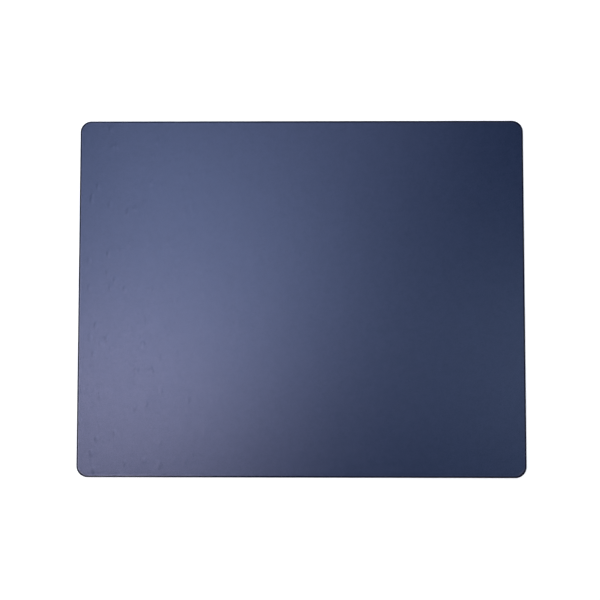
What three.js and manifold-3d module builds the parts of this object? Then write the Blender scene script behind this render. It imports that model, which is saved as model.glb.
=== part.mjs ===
// A padded desk mat with a turned edge: a leatherette skin wraps a foam sheet and a grey board, its
// hem is turned under and levelled with a card, and a felt sheet covers the underside.
//
// Millimetres. X runs along the long side, Y away from the user, Z up. The origin is the middle of
// the underside, so the mat lies on the plane z = 0.

import * as THREE from 'three';
import { mergeVertices } from 'three/addons/utils/BufferGeometryUtils.js';
import Module from 'manifold-3d';

// The outline of the mat.
const LENGTH = 508;
const WIDTH = 406.4;
const CORNER_RADIUS = 12.7;

// The layers, from the desk up. Each is bonded to the next with a thin line of glue.
const FELT_THICKNESS = 0.9;
const HEM_THICKNESS = 0.5;
const BOARD_THICKNESS = 1.8;
const FOAM_THICKNESS = 0.9;
const SKIN_THICKNESS = 0.8;
const GLUE_LINE = 0.05;

// The turned edge. The top edge rounds over as a quarter ellipse, where the skin bends round the core.
const SHOULDER_WIDTH = 1.8;
const SHOULDER_DROP = 1.6;
const FOLD_RADIUS = 1;
const HEM_WIDTH = 12;

// How far the flat pieces are cut back from what surrounds them.
const CORE_CLEARANCE = 0.3;
const CARD_CLEARANCE = 0.4;
const FELT_INSET = 3;

// Heights above the desk.
const HEM_BOTTOM = FELT_THICKNESS + GLUE_LINE;
const HEM_TOP = HEM_BOTTOM + HEM_THICKNESS;
const BOARD_BOTTOM = HEM_TOP + GLUE_LINE;
const BOARD_TOP = BOARD_BOTTOM + BOARD_THICKNESS;
const FOAM_BOTTOM = BOARD_TOP + GLUE_LINE;
const FOAM_TOP = FOAM_BOTTOM + FOAM_THICKNESS;
const CAVITY_TOP = FOAM_TOP + GLUE_LINE;
const FACE_TOP = CAVITY_TOP + SKIN_THICKNESS;

// Facets in a quarter circle of the outline, and in a quarter ellipse of the edge. An extruded arc
// gets two facets for each of its curve segments.
const CORNER_FACETS = 12;
const EDGE_FACETS = 6;
const CURVE_SEGMENTS = CORNER_FACETS / 2;

const wasm = await Module();
wasm.setup();

// The middles of the corner arcs, which every inset outline shares.
const CORNER_X = LENGTH / 2 - CORNER_RADIUS;
const CORNER_Y = WIDTH / 2 - CORNER_RADIUS;

/** The mat's outline moved in by inset, as a rectangle with round corners. */
function outline(inset) {
  const radius = CORNER_RADIUS - inset;
  const shape = new THREE.Shape();
  shape.absarc(CORNER_X, -CORNER_Y, radius, -Math.PI / 2, 0);
  shape.absarc(CORNER_X, CORNER_Y, radius, 0, Math.PI / 2);
  shape.absarc(-CORNER_X, CORNER_Y, radius, Math.PI / 2, Math.PI);
  shape.absarc(-CORNER_X, -CORNER_Y, radius, Math.PI, Math.PI * 1.5);
  shape.closePath();
  return shape;
}

/** A flat sheet of that outline between two heights, with square edges. */
function sheet(shape, bottom, top) {
  const geometry = new THREE.ExtrudeGeometry(shape, {
    depth: top - bottom,
    bevelEnabled: false,
    curveSegments: CURVE_SEGMENTS,
  });
  return geometry.translate(0, 0, bottom);
}

/** A slab of that outline between two heights, with both edges rounded as a quarter ellipse. */
function roundedSlab(shape, bottom, top, roundWidth, roundHeight) {
  const geometry = new THREE.ExtrudeGeometry(shape, {
    depth: top - bottom - 2 * roundHeight,
    bevelSize: roundWidth,
    bevelOffset: -roundWidth,
    bevelThickness: roundHeight,
    bevelSegments: EDGE_FACETS,
    curveSegments: CURVE_SEGMENTS,
  });
  return geometry.translate(0, 0, bottom + roundHeight);
}

/** A closed geometry as a solid that can be cut. */
function solid(geometry) {
  geometry.deleteAttribute('normal');
  geometry.deleteAttribute('uv');
  const merged = mergeVertices(geometry);
  return new wasm.Manifold(new wasm.Mesh({
    numProp: 3,
    vertProperties: new Float32Array(merged.attributes.position.array),
    triVerts: new Uint32Array(merged.index.array),
  }));
}

/** A solid as a geometry that a mesh can show. */
function geometryOf(body) {
  const mesh = body.getMesh();
  const geometry = new THREE.BufferGeometry();
  geometry.setAttribute('position', new THREE.BufferAttribute(mesh.vertProperties, 3));
  geometry.setIndex(new THREE.BufferAttribute(mesh.triVerts, 1));
  geometry.computeVertexNormals();
  return geometry;
}

/** A solid of that outline whose top edge falls away as the mat's shoulder does under the skin. */
function shoulderedBody(inset, bottom, top, depthUnderSkin) {
  const width = SHOULDER_WIDTH - depthUnderSkin;
  const drop = SHOULDER_DROP - depthUnderSkin;
  const tall = roundedSlab(outline(inset), bottom - 2 * drop, top, width, drop);
  return solid(tall).intersect(solid(sheet(outline(0), bottom, FACE_TOP)));
}

/** The skin: the writing face, the rounded edge, and the hem turned under all round. */
function coverGeometry() {
  const shouldered = shoulderedBody(0, HEM_BOTTOM, FACE_TOP, 0);
  const folded = roundedSlab(outline(0), HEM_BOTTOM, 2 * FACE_TOP, FOLD_RADIUS, FOLD_RADIUS);
  const cavity = shoulderedBody(SKIN_THICKNESS, HEM_TOP, CAVITY_TOP, SKIN_THICKNESS);
  const opening = sheet(outline(HEM_WIDTH), 0, BOARD_TOP);
  return geometryOf(shouldered.intersect(solid(folded)).subtract(cavity).subtract(solid(opening)));
}

/** The foam sheet, which fills the top of the skin and rounds off with it. */
function foamGeometry() {
  const inset = SKIN_THICKNESS + CORE_CLEARANCE;
  return geometryOf(shoulderedBody(inset, FOAM_BOTTOM, FOAM_TOP, SKIN_THICKNESS));
}

/** The board, die-cut with square edges. */
function boardGeometry() {
  return sheet(outline(SKIN_THICKNESS + CORE_CLEARANCE), BOARD_BOTTOM, BOARD_TOP);
}

/** The card between the four hems, as thick as they are. */
function cardGeometry() {
  return sheet(outline(HEM_WIDTH + CARD_CLEARANCE), HEM_BOTTOM, HEM_TOP);
}

/** The felt, which laps over the hem and stops short of the mat's edge. */
function feltGeometry() {
  return sheet(outline(FELT_INSET), 0, FELT_THICKNESS);
}

/** A plain finish of that colour, with no metal in it. */
function finish(color, roughness) {
  return new THREE.MeshStandardMaterial({ color, roughness, metalness: 0 });
}

const NAVY_LEATHERETTE = finish(0x2b3655, 0.5);
const GREY_FOAM = finish(0x6e7074, 0.95);
const GREY_BOARD = finish(0x8d877c, 0.9);
const WHITE_CARD = finish(0xd6d1c4, 0.85);
const BLACK_FELT = finish(0x1c1d21, 0.95);

/** One named piece of the mat. */
function piece(name, geometry, material) {
  const mesh = new THREE.Mesh(geometry, material);
  mesh.name = name;
  return mesh;
}

const deskMat = new THREE.Group();
deskMat.add(
  piece('leatherette_cover', coverGeometry(), NAVY_LEATHERETTE),
  piece('cushion_foam', foamGeometry(), GREY_FOAM),
  piece('core_board', boardGeometry(), GREY_BOARD),
  piece('infill_card', cardGeometry(), WHITE_CARD),
  piece('backing_felt', feltGeometry(), BLACK_FELT),
);

export default deskMat;
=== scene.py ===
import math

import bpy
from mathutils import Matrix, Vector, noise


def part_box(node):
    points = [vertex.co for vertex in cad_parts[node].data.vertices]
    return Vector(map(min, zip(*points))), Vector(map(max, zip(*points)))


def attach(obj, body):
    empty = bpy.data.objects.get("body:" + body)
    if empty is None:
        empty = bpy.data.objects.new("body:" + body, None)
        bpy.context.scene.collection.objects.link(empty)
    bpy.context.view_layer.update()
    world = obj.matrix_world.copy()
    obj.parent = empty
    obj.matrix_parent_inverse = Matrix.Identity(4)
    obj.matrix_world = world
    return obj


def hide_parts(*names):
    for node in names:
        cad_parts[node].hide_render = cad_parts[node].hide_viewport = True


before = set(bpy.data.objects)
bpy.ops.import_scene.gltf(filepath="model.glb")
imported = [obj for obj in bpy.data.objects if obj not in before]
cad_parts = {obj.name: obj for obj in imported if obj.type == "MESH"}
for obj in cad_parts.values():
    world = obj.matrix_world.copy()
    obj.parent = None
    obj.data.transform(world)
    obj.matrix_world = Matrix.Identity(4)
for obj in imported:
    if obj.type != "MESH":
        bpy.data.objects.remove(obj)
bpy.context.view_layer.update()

# A padded desk mat: navy leatherette turned over a foam and board core, with a felt underside.
# The cover, the foam and the felt are modelled here. The board and the card keep their CAD shapes.

MM = 0.001

# Places taken from the CAD model.
COVER_LOW, COVER_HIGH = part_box("leatherette_cover")
FOAM_LOW, FOAM_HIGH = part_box("cushion_foam")
FELT_LOW, FELT_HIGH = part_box("backing_felt")

# The outline and the turned edge, as the CAD model has them.
CORNER_RADIUS = 12.7 * MM
SHOULDER_WIDTH = 1.8 * MM
SHOULDER_DROP = 1.6 * MM
FOLD_RADIUS = 1.0 * MM
HEM_THICKNESS = 0.5 * MM
SKIN_THICKNESS = 0.8 * MM

# The skin is skived to the hem's thickness up to this height above the hem's underside.
SKIVED_HEIGHT = 0.3 * MM

# How finely the sheets are meshed.
GRID_STEP = 6.0 * MM
CORNER_STEPS = 42
FOLD_STEPS = 6
SHOULDER_STEPS = 12
SLAB_ROUND_STEPS = 4

# Rings of points on the cover, by how far inside the mat's outline they lie. They are close together
# where the hem is tucked, and where the marks of the edge end on the face.
HEM_RINGS = [inset * MM for inset in (12.0, 9.0, 6.0, 4.5, 3.5, 2.75, 2.0, 1.5)]
FACE_RINGS = [inset * MM for inset in (2.05, 2.3, 2.6, 3.0, 3.5, 4.5, 7.0, 10.0)]

# Small unevenness of a hand-laid, foam-backed surface. The face has a second wave, half as long.
FLAT_MARGIN = 12.0 * MM
FACE_WAVE = 0.02 * MM
FACE_WAVE_LENGTH = 55.0 * MM
FINE_WAVE_SHARE = 0.5
EDGE_WAVE = 0.05 * MM
EDGE_WAVE_LENGTH = 40.0 * MM
SLAB_WAVE_LENGTH = 25.0 * MM

# Each kind of unevenness has its own layer of the noise.
FACE_LAYER = 1.0
FINE_LAYER = 2.0
SLAB_FLOOR_LAYER = 3.0
SLAB_ROOF_LAYER = 4.0
EDGE_LAYER = 7.0
HIGHLIGHT_LAYER = 9.0

# The foam and the felt: (width, height) of their rounded edges, how far from the edge each is quite
# flat and from where it is uneven, and the height of the felt's unevenness.
FOAM_BOTTOM_ROUND = (0.08 * MM, 0.05 * MM)
FELT_TOP_ROUND = (0.3 * MM, 0.25 * MM)
FELT_BOTTOM_ROUND = (0.35 * MM, 0.3 * MM)
SLAB_FLAT_RIM = 2.0 * MM
SLAB_UNEVEN_FROM = 4.0 * MM
FELT_UNEVENNESS = 0.03 * MM

# The dark rim round the outside of the edge: a dark edge finish, darkened further as painted shade.
# It starts a little above the hem. It is RIM_WIDTH wide at the left end, which is at -1, and has all
# its extra width from RIM_EXTRA_FULL_AT on. The extra width to the right and round the corners is
# painted shade, away from the key light at the near left.
RIM_START = 0.2 * MM
RIM_WIDTH = 1.6 * MM
RIM_EXTRA_SHADE = 0.5 * MM
RIM_EXTRA_FULL_AT = 0.3
RIM_SHADE_AT_CORNERS = 0.5 * MM
RIM_FADE = 0.3 * MM

# A painted highlight: the line inside the rim painted lighter, as if the rounded edge caught the key
# light, and how bright it is, from 0 to 1. A place's nearness to the left and to the front, each
# from
# -1 to 1, is weighed to say how much it is lit.
HIGHLIGHT_OFFSET = 0.75 * MM
HIGHLIGHT_WIDTH = 0.9 * MM
LEFT_WEIGHT = 0.7
NEAR_WEIGHT = 0.3
LIT_FROM = 0.3
LEAST_HIGHLIGHT = 0.07
LIT_HIGHLIGHT = 0.7
NEAR_CORNER_HIGHLIGHT = 0.5
HIGHLIGHT_MEAN = 0.9
HIGHLIGHT_SWING = 0.3
HIGHLIGHT_WAVE_LENGTH = 30.0 * MM

# The rim itself gets the painted highlight too, at the share set next, and more along the near
# halves of the ends.
RIM_HIGHLIGHT = 0.26
NEAR_END_HIGHLIGHT = 0.25
NEAR_END_FROM = -0.2
NEAR_END_FULL = 0.6

# The tucks where the hem is gathered round a corner, which die out towards the fold and the sides.
TUCKS_PER_CORNER = 7
TUCK_DEPTH = 0.25 * MM
CREASE_SHARE = 0.5
TUCKS_END_SHARE = 0.1
TUCKS_FROM_INSET = 0.8 * MM
TUCKS_FULL_INSET = 2.0 * MM


# ---------------------------------------------------------------- shapes


def smoothstep(value, low, high):
    """0 below low, 1 above high, and a smooth climb between them."""
    t = min(max((value - low) / (high - low), 0.0), 1.0)
    return t * t * (3.0 - 2.0 * t)


def wave(x, y, length, layer):
    """A smooth random height from about -1 to 1, the same each run."""
    return noise.noise(Vector((x / length, y / length, layer)))


class Station:
    """A place on the outline: the point that its insets run towards, and the way out of the mat."""

    def __init__(self, centre, angle, tuck=None):
        self.centre = centre
        self.out = (math.cos(angle), math.sin(angle))
        self.tuck = tuck

    def at(self, inset):
        """The place on this station that lies inset inside the outline."""
        reach = CORNER_RADIUS - inset
        return (self.centre[0] + reach * self.out[0], self.centre[1] + reach * self.out[1])


class Sheet:
    """Builds a sheet in the mat's outline: rings along the edge, and a grid that fills the face."""

    def __init__(self):
        self.half_x = COVER_HIGH.x - CORNER_RADIUS
        self.half_y = COVER_HIGH.y - CORNER_RADIUS
        self.count_x = round(2 * self.half_x / GRID_STEP)
        self.count_y = round(2 * self.half_y / GRID_STEP)
        self.stations = self.make_stations()
        self.points = []
        self.faces = []

    def make_stations(self):
        """The stations in order round the mat, from the front left corner to the right."""
        ends_x = (-self.half_x, self.half_x)
        ends_y = (-self.half_y, self.half_y)
        sides = (
            (self.count_x, (ends_x[0], ends_y[0]), (ends_x[1], ends_y[0])),
            (self.count_y, (ends_x[1], ends_y[0]), (ends_x[1], ends_y[1])),
            (self.count_x, (ends_x[1], ends_y[1]), (ends_x[0], ends_y[1])),
            (self.count_y, (ends_x[0], ends_y[1]), (ends_x[0], ends_y[0])),
        )
        made = []
        for index, (count, start, end) in enumerate(sides):
            angle = (index - 1) * math.pi / 2
            for step in range(count + 1):
                t = step / count
                place = (start[0] + t * (end[0] - start[0]), start[1] + t * (end[1] - start[1]))
                made.append(Station(place, angle))
            for step in range(1, CORNER_STEPS):
                t = step / CORNER_STEPS
                made.append(Station(end, angle + t * math.pi / 2, tuck=t))
        return made

    def ring(self, inset, height):
        """Adds a loop of points. inset and height may be numbers or functions of a station."""
        first = len(self.points)
        for station in self.stations:
            d = inset(station) if callable(inset) else inset
            x, y = station.at(d)
            z = height(station, x, y) if callable(height) else height
            self.points.append((x, y, z))
        return range(first, len(self.points))

    def join(self, lower, upper):
        """Adds the faces between two loops."""
        count = len(self.stations)
        for i in range(count):
            j = (i + 1) % count
            self.faces.append((lower[i], lower[j], upper[j], upper[i]))

    def fill(self, loop, height, facing_up):
        """Closes a loop with a grid over the face."""
        first = len(self.points)
        across = self.count_x + 1
        for row in range(self.count_y + 1):
            y = -self.half_y + 2 * self.half_y * row / self.count_y
            for column in range(across):
                x = -self.half_x + 2 * self.half_x * column / self.count_x
                self.points.append((x, y, height(None, x, y)))
        new_faces = []
        for row in range(self.count_y):
            for column in range(self.count_x):
                a = first + row * across + column
                new_faces.append((a, a + 1, a + 1 + across, a + across))
        count = len(self.stations)
        nearest = [self.grid_point(first, station) for station in self.stations]
        for i in range(count):
            j = (i + 1) % count
            face = [loop[i], loop[j], nearest[j], nearest[i]]
            new_faces.append(tuple(dict.fromkeys(face)))
        if not facing_up:
            new_faces = [tuple(reversed(face)) for face in new_faces]
        self.faces.extend(new_faces)

    def grid_point(self, first, station):
        """The grid's own point where a station's insets end."""
        column = round((station.centre[0] + self.half_x) / (2 * self.half_x) * self.count_x)
        row = round((station.centre[1] + self.half_y) / (2 * self.half_y) * self.count_y)
        return first + row * (self.count_x + 1) + column

    def to_object(self, name):
        mesh = bpy.data.meshes.new(name)
        mesh.from_pydata(self.points, [], self.faces)
        mesh.shade_smooth()
        piece = bpy.data.objects.new(name, mesh)
        bpy.context.scene.collection.objects.link(piece)
        return piece


def quarter(steps):
    """The angles of a quarter turn, both ends included."""
    return [step / steps * math.pi / 2 for step in range(steps + 1)]


def edge_wave(station):
    """How far a turned edge strays from its line."""
    x, y = station.at(0.0)
    return EDGE_WAVE * wave(x, y, EDGE_WAVE_LENGTH, EDGE_LAYER)


def face_height(station, x, y):
    """The height of the writing face, which waves a little away from the edge."""
    inset = min(COVER_HIGH.x - abs(x), COVER_HIGH.y - abs(y))
    free = smoothstep(inset, SHOULDER_WIDTH, FLAT_MARGIN)
    broad = wave(x, y, FACE_WAVE_LENGTH, FACE_LAYER)
    fine = wave(x, y, FACE_WAVE_LENGTH / 2, FINE_LAYER)
    rise = (broad + FINE_WAVE_SHARE * fine) / (1.0 + FINE_WAVE_SHARE)
    return COVER_HIGH.z + FACE_WAVE * free * rise


def tuck_height(station, strength):
    """How far a crease between two tucks rises into the hem, at a corner station."""
    if station.tuck is None:
        return 0.0
    phase = station.tuck * TUCKS_PER_CORNER
    saw = phase - math.floor(phase)
    crease = max(0.0, 1.0 - abs(saw - 0.5) / (CREASE_SHARE / 2))
    nearest_end = min(station.tuck, 1.0 - station.tuck)
    return TUCK_DEPTH * strength * crease * smoothstep(nearest_end, 0.0, TUCKS_END_SHARE)


def make_cover():
    """The leatherette: one skin from the edge of the hem, round the turned edge, over the face."""
    sheet = Sheet()
    low = COVER_LOW.z
    high = COVER_HIGH.z
    loops = []
    for inset in HEM_RINGS:
        strength = smoothstep(inset, TUCKS_FROM_INSET, TUCKS_FULL_INSET)
        loops.append(sheet.ring(inset, lambda s, x, y, k=strength: low + tuck_height(s, k)))
    for angle in quarter(FOLD_STEPS):
        inset = FOLD_RADIUS * (1 - math.sin(angle))
        height = low + FOLD_RADIUS * (1 - math.cos(angle))
        loops.append(sheet.ring(lambda s, d=inset: d + edge_wave(s), height))
    for angle in quarter(SHOULDER_STEPS):
        inset = SHOULDER_WIDTH * (1 - math.cos(angle))
        height = high - SHOULDER_DROP * (1 - math.sin(angle))
        loops.append(sheet.ring(
            lambda s, d=inset, k=math.cos(angle): d + k * edge_wave(s), height))
    for inset in FACE_RINGS:
        loops.append(sheet.ring(inset, face_height))
    for lower, upper in zip(loops, loops[1:]):
        sheet.join(lower, upper)
    sheet.fill(loops[-1], face_height, facing_up=True)
    piece = sheet.to_object("leatherette_skin")
    add_marks(piece)
    thicken(piece)
    return piece


def from_edge(x, y):
    """How far a place lies inside the mat's outline, and the way out from there."""
    past_x = abs(x) - (COVER_HIGH.x - CORNER_RADIUS)
    past_y = abs(y) - (COVER_HIGH.y - CORNER_RADIUS)
    if past_x > 0 and past_y > 0:
        past = math.hypot(past_x, past_y)
        out = (math.copysign(past_x / past, x), math.copysign(past_y / past, y))
    elif past_x > past_y:
        past = past_x
        out = (math.copysign(1.0, x), 0.0)
    else:
        past = past_y
        out = (0.0, math.copysign(1.0, y))
    return CORNER_RADIUS - past, out


def corner_at(out):
    """1 at the middle of a corner's arc, where the way out is diagonal, and 0 along the sides."""
    return 4.0 * (out[0] * out[1]) ** 2


def rim_width_at(x, out):
    """How far the dark rim reaches over the top; its extra width, to the right and round the
    corners, is painted shade.
    """
    extra = RIM_EXTRA_SHADE * smoothstep(x / COVER_HIGH.x, -1.0, RIM_EXTRA_FULL_AT)
    return RIM_WIDTH + extra + RIM_SHADE_AT_CORNERS * corner_at(out)


def highlight_at(x, y, out):
    """How bright the painted highlight along the edge is: most on the left and round the two near
    corners.
    """
    toward_key_light = -LEFT_WEIGHT * x / COVER_HIGH.x - NEAR_WEIGHT * y / COVER_HIGH.y
    near_corner = corner_at(out) if out[1] < 0 else 0.0
    amount = LIT_HIGHLIGHT * smoothstep(toward_key_light, LIT_FROM, 1.0) + NEAR_CORNER_HIGHLIGHT * near_corner
    return amount * (HIGHLIGHT_MEAN + HIGHLIGHT_SWING * wave(x, y, HIGHLIGHT_WAVE_LENGTH, HIGHLIGHT_LAYER))


def rim_highlight_at(x, y, z, out):
    """How much painted highlight the rim gets: as the rest of the edge, and more along the near
    halves of the ends.

    Only the shoulder of the straight sides gets it. The corners and what is lower stay dark."""
    nearness = smoothstep(-y / COVER_HIGH.y, NEAR_END_FROM, NEAR_END_FULL)
    near_ends = NEAR_END_HIGHLIGHT * abs(out[0]) * nearness
    shoulder_low = COVER_HIGH.z - SHOULDER_DROP
    above_side = smoothstep(z, shoulder_low, shoulder_low + SHOULDER_DROP / 2)
    straight = 1.0 - corner_at(out)
    return RIM_HIGHLIGHT * above_side * straight * (highlight_at(x, y, out) + near_ends)


def add_marks(piece):
    """Marks the dark rim, partly painted shade, and the painted highlight, each from 0 to 1, and
    gives the rim its material slot.
    """
    rim = piece.data.attributes.new("rim", "FLOAT", "POINT")
    painted_highlight = piece.data.attributes.new("painted_highlight", "FLOAT", "POINT")
    for vertex in piece.data.vertices:
        x, y, z = vertex.co
        inset, out = from_edge(x, y)
        # The dark rim: an edge finish and painted shade, wider on the sides away from the key light.
        width = rim_width_at(x, out)
        above_fold = smoothstep(z, COVER_LOW.z, COVER_LOW.z + RIM_START)
        in_rim = above_fold * (1.0 - smoothstep(inset, width, width + RIM_FADE))
        # The painted highlight, on the rim and in a lighter line just inside it.
        highlight_amount = in_rim * rim_highlight_at(x, y, z, out)
        if z > COVER_HIGH.z - SHOULDER_DROP:
            away = abs(inset - width - HIGHLIGHT_OFFSET) / HIGHLIGHT_WIDTH
            line = 1.0 - smoothstep(away, 0.0, 1.0)
            highlight_amount += (LEAST_HIGHLIGHT + highlight_at(x, y, out)) * (1.0 - in_rim) * line
        rim.data[vertex.index].value = in_rim
        painted_highlight.data[vertex.index].value = highlight_amount
    for face in piece.data.polygons:
        inset, out = from_edge(face.center.x, face.center.y)
        if inset < rim_width_at(face.center.x, out) and face.center.z > COVER_LOW.z + RIM_START:
            face.material_index = 1


def thicken(piece):
    """Gives the skin its thickness, which is skived down in the hem."""
    group = piece.vertex_groups.new(name="thickness")
    hem_top = COVER_LOW.z + HEM_THICKNESS
    for vertex in piece.data.vertices:
        x, y, z = vertex.co
        hem = hem_top - z
        fold = smoothstep(z, COVER_LOW.z + SKIVED_HEIGHT, COVER_LOW.z + FOLD_RADIUS)
        thickness = hem + (SKIN_THICKNESS - hem) * fold
        group.add([vertex.index], thickness / SKIN_THICKNESS, "REPLACE")
    solid = piece.modifiers.new("thickness", "SOLIDIFY")
    solid.thickness = SKIN_THICKNESS
    solid.offset = -1.0
    solid.vertex_group = group.name


def make_slab(name, low, high, inset, top_round, bottom_round, unevenness=0.0):
    """A flat sheet in the mat's outline. Each round is the (width, height) of a rounded edge."""
    sheet = Sheet()

    def floor(station, x, y):
        return low + unevenness * (1.0 + wave(x, y, SLAB_WAVE_LENGTH, SLAB_FLOOR_LAYER)) / 2

    def roof(station, x, y):
        return high - unevenness * (1.0 + wave(x, y, SLAB_WAVE_LENGTH, SLAB_ROOF_LAYER)) / 2

    def rim(width, height):
        """A ring on the sheet's edge, which strays as the mat's own edge does."""
        return sheet.ring(lambda station: inset + width + edge_wave(station), height)

    loops = [sheet.ring(inset + SLAB_UNEVEN_FROM, floor), sheet.ring(inset + SLAB_FLAT_RIM, low)]
    for angle in quarter(SLAB_ROUND_STEPS):
        width, height = bottom_round
        loops.append(rim(width * (1 - math.sin(angle)), low + height * (1 - math.cos(angle))))
    for angle in quarter(SLAB_ROUND_STEPS):
        width, height = top_round
        loops.append(rim(width * (1 - math.cos(angle)), high - height * (1 - math.sin(angle))))
    loops += [sheet.ring(inset + SLAB_FLAT_RIM, high), sheet.ring(inset + SLAB_UNEVEN_FROM, roof)]
    for lower, upper in zip(loops, loops[1:]):
        sheet.join(lower, upper)
    sheet.fill(loops[0], floor, facing_up=False)
    sheet.fill(loops[-1], roof, facing_up=True)
    return sheet.to_object(name)


# ---------------------------------------------------------------- materials


class Nodes:
    """A new material, with short calls for adding and joining its nodes."""

    def __init__(self, name):
        self.material = bpy.data.materials.new(name)
        self.material.use_nodes = True
        self.tree = self.material.node_tree
        self.shader = self.tree.nodes["Principled BSDF"]
        self.place = self.add("ShaderNodeTexCoord").outputs["Object"]

    def add(self, kind, **settings):
        node = self.tree.nodes.new(kind)
        for key, value in settings.items():
            setattr(node, key, value)
        return node

    def join(self, source, target):
        self.tree.links.new(source, target)

    def mark(self, name):
        """The mesh's own marks of that name, from 0 to 1."""
        return self.add("ShaderNodeAttribute", attribute_name=name).outputs["Fac"]

    def noise(self, size, detail=2.0, roughness=0.5, distortion=0.0, stretch=None):
        """Noise whose features are about size metres across."""
        node = self.add("ShaderNodeTexNoise")
        node.inputs["Scale"].default_value = 1.0 / size
        node.inputs["Detail"].default_value = detail
        node.inputs["Roughness"].default_value = roughness
        node.inputs["Distortion"].default_value = distortion
        self.join(self.stretched(stretch) if stretch else self.place, node.inputs["Vector"])
        return node.outputs["Fac"]

    def stretched(self, scale):
        """Places scaled along each axis, so that a pattern there is 1 / scale as long."""
        node = self.add("ShaderNodeMapping")
        node.inputs["Scale"].default_value = scale
        self.join(self.place, node.inputs["Vector"])
        return node.outputs["Vector"]

    def cells(self, size, feature="F1", vector=None):
        """The distance to the nearest cell's middle, or to its edge, as a share of a cell's size."""
        node = self.add("ShaderNodeTexVoronoi", feature=feature)
        node.inputs["Scale"].default_value = 1.0 / size
        self.join(vector or self.place, node.inputs["Vector"])
        return node.outputs["Distance"]

    def ramp(self, value, low, high, out_low=0.0, out_high=1.0):
        """A smooth climb from out_low to out_high as the value goes from low to high."""
        node = self.add("ShaderNodeMapRange", interpolation_type="SMOOTHSTEP")
        node.inputs["From Min"].default_value = low
        node.inputs["From Max"].default_value = high
        node.inputs["To Min"].default_value = out_low
        node.inputs["To Max"].default_value = out_high
        self.join(value, node.inputs["Value"])
        return node.outputs["Result"]

    def spread(self, value, out_low, out_high):
        """Noise, most of which lies from 0.3 to 0.7, spread over another range."""
        return self.ramp(value, 0.3, 0.7, out_low, out_high)

    def patches(self, value):
        """Noise as soft patches of 0 and 1."""
        return self.ramp(value, 0.35, 0.65)

    def maths(self, operation, *values):
        """One operation on numbers or other nodes' outputs."""
        node = self.add("ShaderNodeMath", operation=operation)
        for socket, value in zip(node.inputs, values):
            if isinstance(value, (int, float)):
                socket.default_value = value
            else:
                self.join(value, socket)
        return node.outputs[0]

    def mix(self, factor, a, b):
        """A colour between two, each an (r, g, b) or another node's output."""
        node = self.add("ShaderNodeMix", data_type="RGBA")
        self.join(factor, node.inputs["Factor"])
        for socket, value in ((node.inputs[6], a), (node.inputs[7], b)):
            if isinstance(value, tuple):
                socket.default_value = (*value, 1.0)
            else:
                self.join(value, socket)
        return node.outputs[2]

    def bump(self, height, distance, under=None):
        """A surface raised by distance where height is 1, over another bump if one is given."""
        node = self.add("ShaderNodeBump")
        node.inputs["Distance"].default_value = distance
        node.inputs["Strength"].default_value = 1.0
        self.join(height, node.inputs["Height"])
        if under is not None:
            self.join(under, node.inputs["Normal"])
        return node.outputs["Normal"]

    def set(self, **sockets):
        """Sets or joins the shader's sockets; a word's underscores stand for spaces."""
        for key, value in sockets.items():
            socket = self.shader.inputs[key.replace("_", " ")]
            if isinstance(value, bpy.types.NodeSocket):
                self.join(value, socket)
            elif isinstance(value, tuple) and len(value) == 3 and len(socket.default_value) == 4:
                socket.default_value = (*value, 1.0)
            else:
                socket.default_value = value


# Leatherette: its colours, on the pebbles and in the grain lines between them, and its reflection.
NAVY = (0.0067, 0.0155, 0.0440)
NAVY_LIGHT = (0.0073, 0.0168, 0.0476)
NAVY_GRAIN = (0.0057, 0.0133, 0.0395)
# The rim's colours: a dark edge finish with painted shade in it.
RIM_NAVY_SHADED = (0.0014, 0.0028, 0.0165)
RIM_GRAIN_SHADED = (0.0008, 0.0016, 0.0095)
# The painted highlight's colour.
HIGHLIGHT_NAVY = (0.110, 0.102, 0.130)
SATIN_TINT = (0.62, 0.66, 1.0)
FACE_GLOSS = 0.5
RIM_GLOSS = 0.07

# The grain. A pebble's edge is a share of its size, and the wander bends the lines between pebbles.
PEBBLE_SIZE = 0.9 * MM
PEBBLE_EDGE = 0.22
PEBBLE_HEIGHT = 0.02 * MM
WANDER_SIZE = 1.6 * MM
WANDER_REACH = 0.5 * MM
PORE_SIZE = 0.25 * MM
PORE_HEIGHT = 0.012 * MM

# Low lumps, as if grit lay under the skin. Their radius, and that of their flat crowns, is a share
# of their spacing. They are highest up to one place along the mat, and past another they are
# LOW_LUMPS times as high.
LUMP_SPACING = 12.0 * MM
LUMP_CROWN = 0.02
LUMP_RADIUS = 0.3
LUMP_STRETCH = (1.0, 0.6, 1.0)
LUMP_HEIGHT = 0.12 * MM
HIGH_LUMPS_UP_TO_X = -200.0 * MM
LOW_LUMPS_FROM_X = -60.0 * MM
LOW_LUMPS = 0.3

# The satin finish, which is a little uneven, and the noise that breaks up the painted highlight.
MOTTLE_SIZE = 28.0 * MM
SATIN_ROUGHNESS = (0.257, 0.310)
CLOUD_SIZE = 7.0 * MM
CLOUD_ROUGHNESS = 0.004
RIM_EXTRA_ROUGHNESS = 0.6
BREAKUP_SIZE = 1.5 * MM
BREAKUP_RANGE = (0.7, 1.3)


def pebble_grain(n):
    """1 on the pebbles and 0 in the lines between them, which wander as in a pressed grain."""
    wander = n.add("ShaderNodeTexNoise")
    wander.inputs["Scale"].default_value = 1.0 / WANDER_SIZE
    n.join(n.place, wander.inputs["Vector"])
    warp = n.add("ShaderNodeVectorMath", operation="MULTIPLY_ADD")
    n.join(wander.outputs["Color"], warp.inputs[0])
    warp.inputs[1].default_value = (WANDER_REACH,) * 3
    n.join(n.place, warp.inputs[2])
    from_line = n.cells(PEBBLE_SIZE, "DISTANCE_TO_EDGE", warp.outputs[0])
    return n.ramp(from_line, 0.0, PEBBLE_EDGE)


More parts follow.
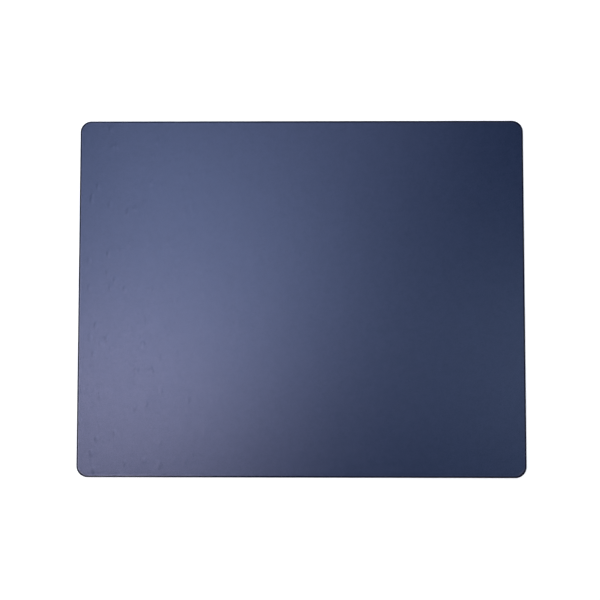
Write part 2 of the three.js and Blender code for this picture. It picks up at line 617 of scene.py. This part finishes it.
def low_lumps(n):
    """The lumps under the skin, from 0 to 1, which are higher towards the left."""
    from_middle = n.cells(LUMP_SPACING, vector=n.stretched(LUMP_STRETCH))
    lumps = n.ramp(from_middle, LUMP_CROWN, LUMP_RADIUS, 1.0, 0.0)
    along = n.add("ShaderNodeSeparateXYZ")
    n.join(n.place, along.inputs[0])
    share = n.ramp(along.outputs["X"], HIGH_LUMPS_UP_TO_X, LOW_LUMPS_FROM_X, 1.0, LOW_LUMPS)
    return n.maths("MULTIPLY", lumps, share)


def leatherette(name, gloss):
    """Navy leatherette: a fine pebbled grain in a satin film, dark at the rim, partly as painted
    shade, with a painted highlight beside it.
    """
    n = Nodes(name)
    pebbles = pebble_grain(n)
    pores = n.noise(PORE_SIZE, detail=3.0)
    rim = n.mark("rim")
    breakup = n.spread(n.noise(BREAKUP_SIZE, detail=2.0), *BREAKUP_RANGE)
    highlight_amount = n.maths("MULTIPLY", n.mark("painted_highlight"), breakup)
    mottled = n.mix(n.patches(n.noise(MOTTLE_SIZE, detail=3.0)), NAVY, NAVY_LIGHT)
    face = n.mix(pebbles, NAVY_GRAIN, mottled)
    # The rim's colour, darkened as painted shade.
    edge = n.mix(pebbles, RIM_GRAIN_SHADED, RIM_NAVY_SHADED)
    cloud = n.spread(n.noise(CLOUD_SIZE, detail=3.0), -CLOUD_ROUGHNESS, CLOUD_ROUGHNESS)
    satin = n.maths("ADD", n.spread(pores, *SATIN_ROUGHNESS), cloud)
    lumpy = n.bump(low_lumps(n), LUMP_HEIGHT)
    pebbled = n.bump(pebbles, PEBBLE_HEIGHT, under=lumpy)
    n.set(
        # A painted highlight is laid over the colour on and beside the rim.
        Base_Color=n.mix(highlight_amount, n.mix(rim, face, edge), HIGHLIGHT_NAVY),
        Roughness=n.maths("ADD", satin, n.maths("MULTIPLY", rim, RIM_EXTRA_ROUGHNESS)),
        Normal=n.bump(pores, PORE_HEIGHT, under=pebbled),
        Specular_Tint=SATIN_TINT,
        Specular_IOR_Level=gloss,
    )
    return n.material


# Felt: the ground under its fibres, the sizes of the fibres' curls, and how high each layer stands.
FELT_DARK = (0.0085, 0.0088, 0.0100)
FELT_LIGHT = (0.0130, 0.0132, 0.0150)
FELT_FIBRE = (0.030, 0.031, 0.036)
FELT_ROUGHNESS = (0.88, 0.98)
FELT_SHEEN = 0.25
FELT_SHEEN_ROUGHNESS = 0.6
FIBRE_CURLS = (1.3 * MM, 0.9 * MM, 0.65 * MM)
FIBRE_TWIST = 1.2
FIBRE_WIDTH = 0.04
FIBRE_HEIGHT = 0.05 * MM
FUZZ_SIZE = 0.3 * MM
FUZZ_HEIGHT = 0.15 * MM
CLUMP_SIZE = 7.0 * MM
CLUMP_HEIGHT = 0.2 * MM


def curled_fibres(n, curl):
    """1 along thin lines that curl every way, where noise crosses its middle value, and 0 beside."""
    winding = n.noise(curl, detail=1.0, distortion=FIBRE_TWIST)
    off_line = n.maths("ABSOLUTE", n.maths("SUBTRACT", winding, 0.5))
    return n.ramp(off_line, 0.0, FIBRE_WIDTH, 1.0, 0.0)


def felt():
    """Pressed black felt: fine fibres that curl every way over a clumped, fuzzy mat."""
    n = Nodes("black_felt")
    tangle = curled_fibres(n, FIBRE_CURLS[0])
    for curl in FIBRE_CURLS[1:]:
        tangle = n.maths("MAXIMUM", tangle, curled_fibres(n, curl))
    fuzz = n.noise(FUZZ_SIZE, detail=3.0, roughness=0.6)
    clumps = n.noise(CLUMP_SIZE, detail=3.0)
    ground = n.mix(n.patches(clumps), FELT_DARK, FELT_LIGHT)
    seen_fibres = n.maths("MULTIPLY", tangle, n.patches(fuzz))
    clumped = n.bump(clumps, CLUMP_HEIGHT)
    fuzzy = n.bump(fuzz, FUZZ_HEIGHT, under=clumped)
    n.set(
        Base_Color=n.mix(seen_fibres, ground, FELT_FIBRE),
        Roughness=n.spread(fuzz, *FELT_ROUGHNESS),
        Normal=n.bump(tangle, FIBRE_HEIGHT, under=fuzzy),
        Sheen_Weight=FELT_SHEEN,
        Sheen_Roughness=FELT_SHEEN_ROUGHNESS,
    )
    return n.material


# Foam: its cells, with walls that rise from CELL_FLOOR to CELL_WALL of a cell's size, and its tone.
FOAM_DARK = (0.145, 0.150, 0.160)
FOAM_LIGHT = (0.175, 0.180, 0.190)
FOAM_CELL = (0.09, 0.094, 0.10)
FOAM_ROUGHNESS = (0.9, 0.97)
CELL_SIZE = 0.45 * MM
CELL_FLOOR = 0.1
CELL_WALL = 0.6
CELL_DEPTH = 0.15 * MM
FOAM_TONE_SIZE = 15.0 * MM


def foam():
    """Grey foam sheet with small cells."""
    n = Nodes("grey_foam")
    walls = n.ramp(n.cells(CELL_SIZE), CELL_FLOOR, CELL_WALL)
    tone = n.noise(FOAM_TONE_SIZE, detail=2.0)
    skin = n.mix(n.patches(tone), FOAM_DARK, FOAM_LIGHT)
    n.set(
        Base_Color=n.mix(walls, FOAM_CELL, skin),
        Roughness=n.spread(tone, *FOAM_ROUGHNESS),
        Normal=n.bump(walls, CELL_DEPTH),
    )
    return n.material


# Board and card: how cloudy the pressed fibre is, and how long and how rare its flecks are.
BOARD_CLOUD_SIZE = 9.0 * MM
BOARD_ROUGHNESS = (0.82, 0.92)
FLECK_STRETCH = (0.3, 1.0, 1.0)
FLECK_START = 0.62
FLECK_FULL = 0.72
FLECK_HEIGHT = 0.06 * MM


def fibre_board(name, dark, light, fleck, fleck_size):
    """Pressed paper fibre: long flecks in a cloudy sheet."""
    n = Nodes(name)
    cloud = n.noise(BOARD_CLOUD_SIZE, detail=4.0)
    flecks = n.noise(fleck_size, detail=2.0, stretch=FLECK_STRETCH)
    sheet = n.mix(n.spread(cloud, 0.0, 1.0), dark, light)
    n.set(
        Base_Color=n.mix(n.ramp(flecks, FLECK_START, FLECK_FULL), sheet, fleck),
        Roughness=n.spread(cloud, *BOARD_ROUGHNESS),
        Normal=n.bump(flecks, FLECK_HEIGHT),
    )
    return n.material


# ---------------------------------------------------------------- studio

# The floor glows faintly. The glow grows with the distance from the mat up to GLOW_FULL_AT. Between
# DIM_FROM and DIM_TO it drops to the wall's brightness. Distances are in metres.
FLOOR_DARK = (0.86, 0.86, 0.87)
FLOOR_LIGHT = (0.88, 0.88, 0.88)
FLOOR_ROUGHNESS = (0.85, 0.9)
FLOOR_PATCH_SIZE = 0.3
FLOOR_GLOW = 0.35
FAR_FLOOR_GLOW = 0.95
HORIZON_GLOW = 0.735
GLOW_GROWS_FROM = 0.3
GLOW_FULL_AT = 1.6
DIM_FROM = 2.0
DIM_TO = 7.0
FLOOR_SIZE = 60.0

# The wall is bright up to one height above the horizon, and the ceiling is dark above another.
WALL_RADIANCE = 0.85
WALL_FULL_BELOW = math.radians(6)
WALL_DARK_ABOVE = math.radians(35)

CAMERA_LENS_MM = 50.0
CAMERA_SENSOR_MM = 36.0
CAMERA_DISTANCE = 0.95
CAMERA_TILT_FORWARD = math.radians(2.59)
CAMERA_TILT_LEFT = math.radians(0.57)
CAMERA_ROLL = math.radians(0.02)
CAMERA_AIM = Vector((-0.0012, -0.0026, 0.0024))


def make_camera():
    """The camera looks almost straight down, from a little in front of the mat's middle."""
    data = bpy.data.cameras.new("camera")
    data.lens = CAMERA_LENS_MM
    data.sensor_width = CAMERA_SENSOR_MM
    camera = bpy.data.objects.new("camera", data)
    camera.rotation_mode = "ZYX"
    camera.rotation_euler = (CAMERA_TILT_FORWARD, CAMERA_TILT_LEFT, CAMERA_ROLL)
    back = camera.rotation_euler.to_matrix() @ Vector((0.0, 0.0, 1.0))
    camera.location = CAMERA_AIM + CAMERA_DISTANCE * back
    bpy.context.scene.collection.objects.link(camera)
    bpy.context.scene.camera = camera


def softbox(name, place, width, height, radiance, colour):
    """A rectangular soft light that faces the mat. radiance is the brightness of its own face."""
    data = bpy.data.lights.new(name, "AREA")
    data.shape = "RECTANGLE"
    data.size = width
    data.size_y = height
    data.energy = radiance * math.pi * width * height
    data.color = colour
    light = bpy.data.objects.new(name, data)
    light.location = place
    light.rotation_mode = "QUATERNION"
    light.rotation_quaternion = Vector(place).to_track_quat("Z", "Y")
    bpy.context.scene.collection.objects.link(light)


def floor_material():
    """A pale matt sweep, which dims to the wall's brightness far away, where the two meet."""
    n = Nodes("pale_floor")
    tone = n.noise(FLOOR_PATCH_SIZE, detail=2.0)
    length = n.add("ShaderNodeVectorMath", operation="LENGTH")
    n.join(n.place, length.inputs[0])
    away = length.outputs["Value"]
    glow = n.ramp(away, GLOW_GROWS_FROM, GLOW_FULL_AT, FLOOR_GLOW, FAR_FLOOR_GLOW)
    dimming = n.ramp(away, DIM_FROM, DIM_TO, 0.0, FAR_FLOOR_GLOW - HORIZON_GLOW)
    n.set(
        Base_Color=n.mix(n.spread(tone, 0.0, 1.0), FLOOR_DARK, FLOOR_LIGHT),
        Roughness=n.spread(tone, *FLOOR_ROUGHNESS),
        Emission_Color=(1.0, 1.0, 1.0),
        Emission_Strength=n.maths("SUBTRACT", glow, dimming),
    )
    return n.material


def make_floor():
    """A large square floor, level with the underside of the mat."""
    half = FLOOR_SIZE / 2
    corners = [(-half, -half, 0.0), (half, -half, 0.0), (half, half, 0.0), (-half, half, 0.0)]
    mesh = bpy.data.meshes.new("floor")
    mesh.from_pydata(corners, [], [(0, 1, 2, 3)])
    floor = bpy.data.objects.new("floor", mesh)
    mesh.materials.append(floor_material())
    bpy.context.scene.collection.objects.link(floor)


def make_world():
    """A white studio wall all round, which fades to a dark ceiling."""
    world = bpy.data.worlds.new("studio")
    world.use_nodes = True
    tree = world.node_tree
    place = tree.nodes.new("ShaderNodeTexCoord").outputs["Generated"]
    split = tree.nodes.new("ShaderNodeSeparateXYZ")
    tree.links.new(place, split.inputs[0])
    ramp = tree.nodes.new("ShaderNodeMapRange")
    ramp.interpolation_type = "SMOOTHSTEP"
    ramp.inputs["From Min"].default_value = math.sin(WALL_FULL_BELOW)
    ramp.inputs["From Max"].default_value = math.sin(WALL_DARK_ABOVE)
    ramp.inputs["To Min"].default_value = WALL_RADIANCE
    ramp.inputs["To Max"].default_value = 0.0
    tree.links.new(split.outputs["Z"], ramp.inputs["Value"])
    tree.links.new(ramp.outputs["Result"], tree.nodes["Background"].inputs["Strength"])
    tree.nodes["Background"].inputs["Color"].default_value = (1.0, 1.0, 1.0, 1.0)
    bpy.context.scene.world = world


def make_lights():
    """A warm key light at the near left, and dimmer, cooler lights on both sides and behind."""
    softbox(
        "key_left", place=(-0.85, -0.335, 2.6), width=0.69, height=0.86,
        radiance=14.2, colour=(1.09, 1.0, 0.985))
    softbox(
        "fill_left", place=(-0.54, 0.29, 2.6), width=0.93, height=1.34,
        radiance=5.5, colour=(0.85, 1.0, 1.15))
    softbox(
        "kick_right", place=(1.28, -0.21, 2.6), width=0.86, height=1.43,
        radiance=2.8, colour=(0.85, 1.0, 1.07))
    softbox(
        "fill_back", place=(-0.125, 0.64, 1.1), width=0.91, height=0.71,
        radiance=1.8, colour=(0.92, 1.0, 1.15))


def make_studio():
    """A white studio, seen from above."""
    bpy.context.scene.view_settings.view_transform = "Standard"
    make_camera()
    make_floor()
    make_world()
    make_lights()


# ---------------------------------------------------------------- assembly


def stand_for(piece, node, slot, *materials):
    """A modelled piece rides on the mat and stands for its CAD node."""
    for material in materials:
        piece.data.materials.append(material)
    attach(piece, "root")
    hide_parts(node)


def finish_node(node, material):
    """A CAD node that keeps its shape gets its material."""
    for material_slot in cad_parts[node].material_slots:
        material_slot.link = "OBJECT"
        material_slot.material = material


def make_mat():
    """All five pieces: three modelled here, and the board and the card with their materials."""
    cover = make_cover()
    # The second material is the rim's, which carries its painted shade.
    stand_for(
        cover, "leatherette_cover", "leatherette",
        leatherette("navy_leatherette", FACE_GLOSS), leatherette("navy_edge_painted_shade", RIM_GLOSS))
    under_skin = (SHOULDER_WIDTH - SKIN_THICKNESS, SHOULDER_DROP - SKIN_THICKNESS)
    padding = make_slab(
        "foam_sheet", FOAM_LOW.z, FOAM_HIGH.z, COVER_HIGH.x - FOAM_HIGH.x,
        top_round=under_skin, bottom_round=FOAM_BOTTOM_ROUND)
    stand_for(padding, "cushion_foam", "foam", foam())
    backing = make_slab(
        "felt_sheet", FELT_LOW.z, FELT_HIGH.z, COVER_HIGH.x - FELT_HIGH.x,
        top_round=FELT_TOP_ROUND, bottom_round=FELT_BOTTOM_ROUND, unevenness=FELT_UNEVENNESS)
    stand_for(backing, "backing_felt", "felt", felt())
    finish_node("core_board", fibre_board(
        "grey_board", dark=(0.21, 0.19, 0.16), light=(0.29, 0.27, 0.23),
        fleck=(0.12, 0.11, 0.10), fleck_size=1.2 * MM))
    finish_node("infill_card", fibre_board(
        "white_card", dark=(0.62, 0.59, 0.51), light=(0.70, 0.67, 0.60),
        fleck=(0.50, 0.46, 0.38), fleck_size=0.8 * MM))


make_mat()
make_studio()
